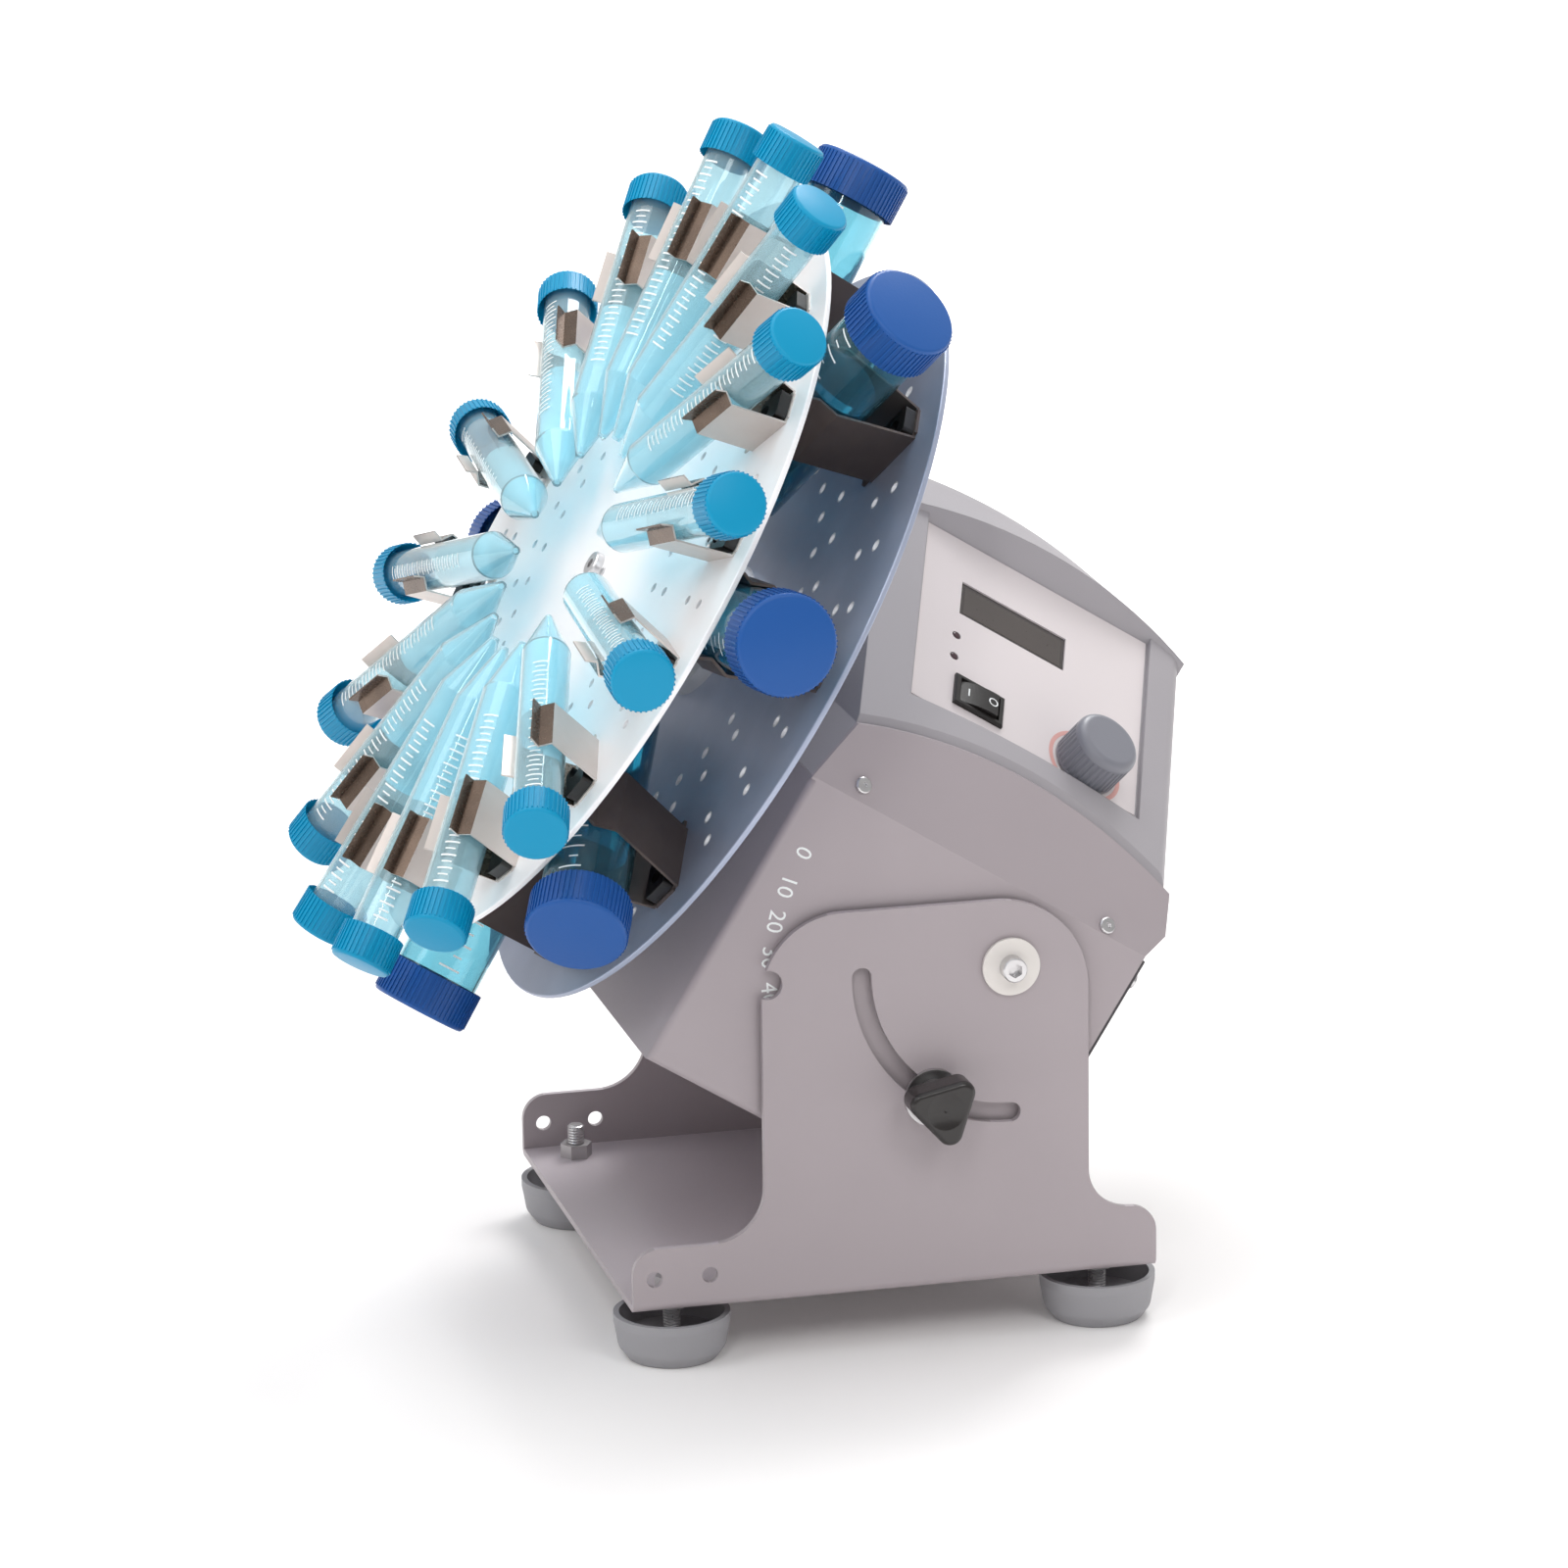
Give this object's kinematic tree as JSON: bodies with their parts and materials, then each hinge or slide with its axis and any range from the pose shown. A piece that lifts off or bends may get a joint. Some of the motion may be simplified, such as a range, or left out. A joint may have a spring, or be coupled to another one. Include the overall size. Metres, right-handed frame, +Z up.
{
  "type": "tube_rotator",
  "caption": "Grey bench-top tilting tube rotator: a two-disc drum with clipped centrifuge tubes on a tilt head, with a control slope and a folded stand on rubber feet",
  "frame": {"origin": "Centre of the whole object's box in plan, on the bench under the feet", "axes": "+X points from the tube drum to the back of the head, +Y away from the clamp side, +Z up"},
  "size_m": [0.3238, 0.3346, 0.41],
  "materials": {
    "grey_paint": "satin",
    "dark_paint": "satin",
    "foot_rubber": "matte",
    "bright_steel": "brushed",
    "grey_zinc": "satin",
    "white_nylon": "matte",
    "brass_bush": "satin",
    "black_knob": "gloss",
    "hood_plastic": "satin",
    "label_film": "satin",
    "display_glass": "gloss",
    "board_green": "matte",
    "led_lens": "gloss",
    "black_plastic": "satin",
    "knob_grey": "satin",
    "bare_aluminium": "brushed",
    "bearing_steel": "polished",
    "motor_steel": "satin",
    "pale_disc": "satin",
    "blue_disc": "polished",
    "clear_plastic": "clear",
    "cyan_cap": "satin",
    "blue_cap": "satin",
    "blue_liquid": "clear",
    "spring_steel": "polished",
    "dark_clip": "satin"
  },
  "bodies": {
    "stand": {"stand_bracket": "grey_paint", "foot_cups": "foot_rubber", "foot_studs": "bright_steel", "foot_nuts": "grey_zinc", "foot_jam_nuts": "bright_steel"},
    "head": {"pivot_bosses": "bright_steel", "pivot_washers": "white_nylon", "pivot_bushes": "brass_bush", "pivot_spacers": "white_nylon", "pivot_screws": "bright_steel", "clamp_nut": "bright_steel", "clamp_washer": "bright_steel", "head_casing": "grey_paint", "hood": "hood_plastic", "shell_screws": "bright_steel", "panel_label": "label_film", "display_window": "display_glass", "display_module": "board_green", "status_leds": "led_lens", "rocker_housing": "black_plastic", "speed_encoder": "bright_steel", "rear_cover": "dark_paint", "cover_screws": "bright_steel", "power_inlet": "black_plastic", "inlet_screws": "bright_steel", "drive_frame": "bare_aluminium", "drive_screws": "bright_steel", "bearing_housing": "bare_aluminium", "spindle_bearings": "bearing_steel", "gear_motor": "motor_steel", "motor_screws": "bright_steel", "control_board": "board_green", "board_posts": "white_nylon", "power_supply": "motor_steel"},
    "drum": {"motor_shaft": "bearing_steel", "shaft_coupling": "bare_aluminium", "spindle": "bearing_steel", "hub": "bare_aluminium", "spacer_sleeve": "bare_aluminium", "hub_screws": "bright_steel", "drive_pins": "bright_steel", "centre_screw": "bright_steel", "front_disc": "pale_disc", "rear_disc": "blue_disc", "tubes_15ml": "clear_plastic", "caps_15ml": "cyan_cap", "fill_15ml": "blue_liquid", "clips_15ml": "spring_steel", "pads_15ml": "black_plastic", "screws_15ml": "bright_steel", "tubes_50ml": "clear_plastic", "caps_50ml": "blue_cap", "fill_50ml": "blue_liquid", "clips_50ml": "dark_clip", "pads_50ml": "black_plastic", "screws_50ml": "bright_steel"},
    "clamp_knob": {"clamp_knob": "black_knob"},
    "speed_knob": {"speed_knob": "knob_grey", "encoder_shaft": "bright_steel"},
    "rocker": {"rocker": "black_plastic"}
  },
  "joints": [
    {"name": "head_tilt", "type": "hinge", "parent": "stand", "child": "head", "pos_m": [0.06589, 0, 0.1325], "axis": [0, 1, 0], "range_deg": [-32, 58]},
    {"name": "drum_spin", "type": "hinge", "parent": "head", "child": "drum", "pos_m": [-0.01208, 0, 0.23228], "axis": [-0.848, 0, 0.5299], "continuous": true},
    {"name": "clamp_turn", "type": "hinge", "parent": "head", "child": "clamp_knob", "pos_m": [0.03844, -0.1, 0.08857], "axis": [0, -1, 0], "range_deg": [0, 180]},
    {"name": "speed_turn", "type": "hinge", "parent": "head", "child": "speed_knob", "pos_m": [0.10918, -0.0485, 0.19234], "axis": [0.4393, -0.5592, 0.7031], "continuous": true},
    {"name": "rocker_tip", "type": "hinge", "parent": "head", "child": "rocker", "pos_m": [0.06865, -0.04201, 0.21201], "axis": [0.2963, 0.829, 0.4742], "range_deg": [0, 18]}
  ]
}
